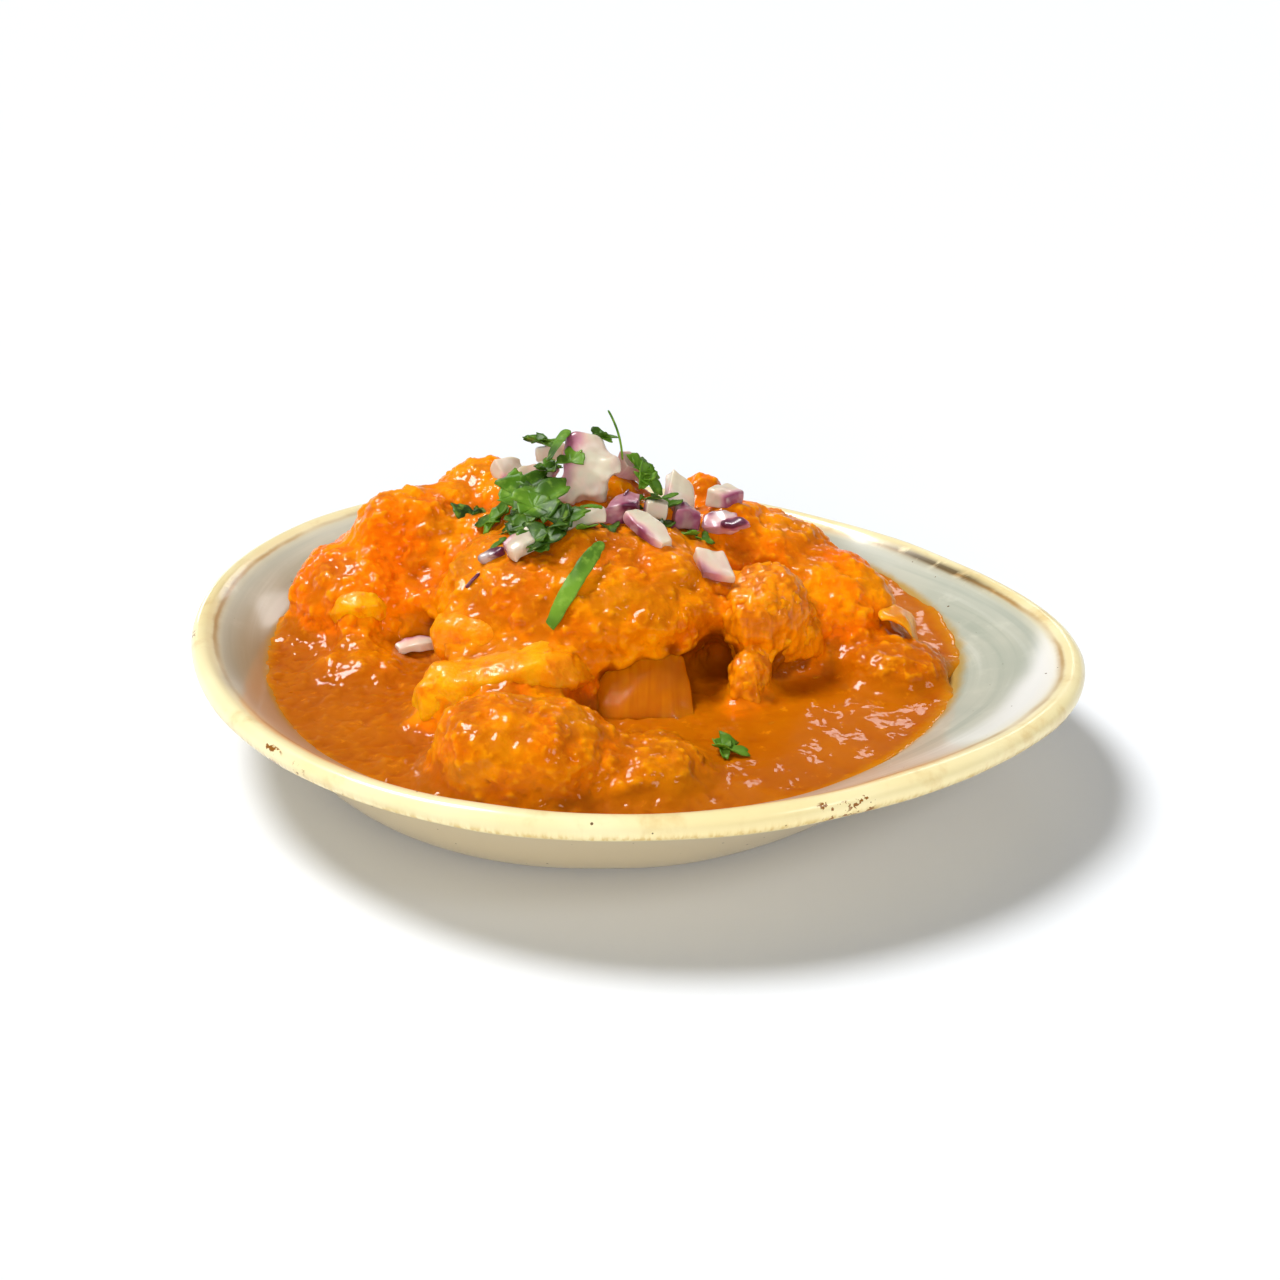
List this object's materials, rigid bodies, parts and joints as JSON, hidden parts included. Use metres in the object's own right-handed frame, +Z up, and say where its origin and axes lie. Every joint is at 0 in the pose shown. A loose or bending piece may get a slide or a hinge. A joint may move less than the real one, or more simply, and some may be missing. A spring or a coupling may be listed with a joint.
{
  "type": "bowl of mango chicken curry",
  "caption": "Egg-shaped glazed stoneware bowl with a pouring lip, filled with orange curry sauce, sauced chicken and mango, and topped with red onion and coriander.",
  "frame": {"origin": "middle of the bowl's plan, on the level of the foot ring's underside", "axes": "+Z up, +X to the diner's right, +Y away from the diner, towards the back of the bowl"},
  "size_m": [0.2498, 0.2334, 0.085],
  "materials": {
    "glazed_stoneware": "glossy glaze, pale grey-green inside, cream at the rim and outside, flecked brown",
    "curry_sauce": "wet, thick, orange brown",
    "sauced_chicken": "wet, coated in orange sauce",
    "sauced_mango": "wet, smooth, yellow orange",
    "cooked_onion": "wet, soft, amber, lets light through",
    "raw_onion": "moist, white, pink to purple at the outer skin, lets light through",
    "purple_onion": "moist, purple outer layer",
    "coriander": "fresh green leaf, slightly glossy"
  },
  "bodies": {
    "root": {"bowl": "glazed_stoneware", "sauce": "curry_sauce", "chicken_back_left": "sauced_chicken", "chicken_back_right": "sauced_chicken", "chicken_back_top": "sauced_chicken", "chicken_centre": "sauced_chicken", "chicken_crown": "sauced_chicken", "chicken_fibrous": "sauced_chicken", "chicken_front": "sauced_chicken", "chicken_front_small": "sauced_chicken", "chicken_left": "sauced_chicken", "chicken_low_left": "sauced_chicken", "chicken_low_right": "sauced_chicken", "chicken_peek": "sauced_chicken", "chicken_right": "sauced_chicken", "chicken_shreds": "sauced_chicken", "coriander_leaf_1": "coriander", "coriander_leaf_10": "coriander", "coriander_leaf_11": "coriander", "coriander_leaf_12": "coriander", "coriander_leaf_13": "coriander", "coriander_leaf_2": "coriander", "coriander_leaf_3": "coriander", "coriander_leaf_4": "coriander", "coriander_leaf_5": "coriander", "coriander_leaf_6": "coriander", "coriander_leaf_7": "coriander", "coriander_leaf_8": "coriander", "coriander_leaf_9": "coriander", "coriander_strip_1": "coriander", "coriander_strip_2": "coriander", "coriander_strip_3": "coriander", "coriander_strip_4": "coriander", "coriander_thread": "raw_onion", "mango_left": "sauced_mango", "mango_lobe": "sauced_mango", "mango_slice": "sauced_mango", "onion_cooked_curl": "cooked_onion", "onion_cooked_petal": "cooked_onion", "onion_die_1": "raw_onion", "onion_die_10": "raw_onion", "onion_die_11": "raw_onion", "onion_die_12": "raw_onion", "onion_die_13": "raw_onion", "onion_die_2": "raw_onion", "onion_die_3": "raw_onion", "onion_die_4": "raw_onion", "onion_die_5": "raw_onion", "onion_die_6": "raw_onion", "onion_die_7": "purple_onion", "onion_die_8": "raw_onion", "onion_die_9": "purple_onion", "onion_petal": "raw_onion", "onion_sliver_1": "raw_onion", "onion_sliver_2": "raw_onion", "onion_sliver_3": "raw_onion", "onion_sliver_4": "raw_onion", "onion_sliver_5": "raw_onion", "onion_sliver_6": "raw_onion"}
  },
  "joints": []
}
